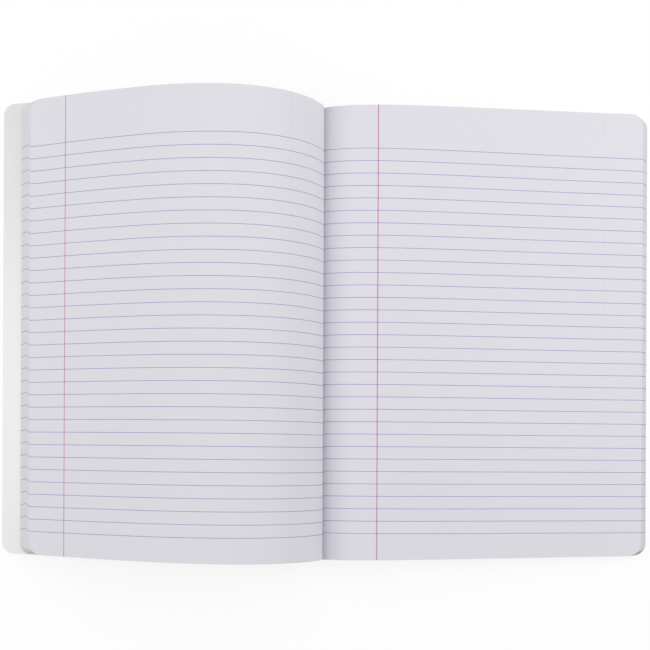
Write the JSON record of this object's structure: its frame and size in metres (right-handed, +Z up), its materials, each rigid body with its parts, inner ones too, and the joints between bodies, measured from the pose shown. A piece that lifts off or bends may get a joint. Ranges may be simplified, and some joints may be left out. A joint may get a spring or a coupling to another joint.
{
  "type": "open composition notebook",
  "caption": "Open notebook of thin card covers and sewn ruled leaves, the front half sprung up in an arch.",
  "frame": {"origin": "centre of the bounding box in X and Y, on the table at Z = 0", "axes": "+X from the gutter towards the back cover's fore-edge, +Y towards the head of the page, +Z up"},
  "size_m": [0.36, 0.2476, 0.043],
  "materials": {
    "cover_card": "satin, coated inside; black and white marbled outside",
    "ruled_paper": "matt, ruled in thin violet-blue with a pink margin line",
    "thread": "matt cotton",
    "spine_cloth": "matt book cloth"
  },
  "bodies": {
    "pages": {"page_block": "ruled_paper", "sewing_thread": "thread", "spine_tape": "spine_cloth"},
    "front_cover_body": {"front_cover": "cover_card", "front_tape_wing": "spine_cloth"},
    "back_cover_body": {"back_cover": "cover_card", "back_tape_wing": "spine_cloth"}
  },
  "joints": [
    {"name": "front_cover_hinge", "type": "hinge", "parent": "pages", "child": "front_cover_body", "pos_m": [-0.01744, 0, 0.00736], "axis": [0, -1, 0], "range_deg": [0, 85]},
    {"name": "back_cover_hinge", "type": "hinge", "parent": "pages", "child": "back_cover_body", "pos_m": [-0.00463, 0, 0.00013], "axis": [0, 1, 0], "range_deg": [0, 85]}
  ]
}
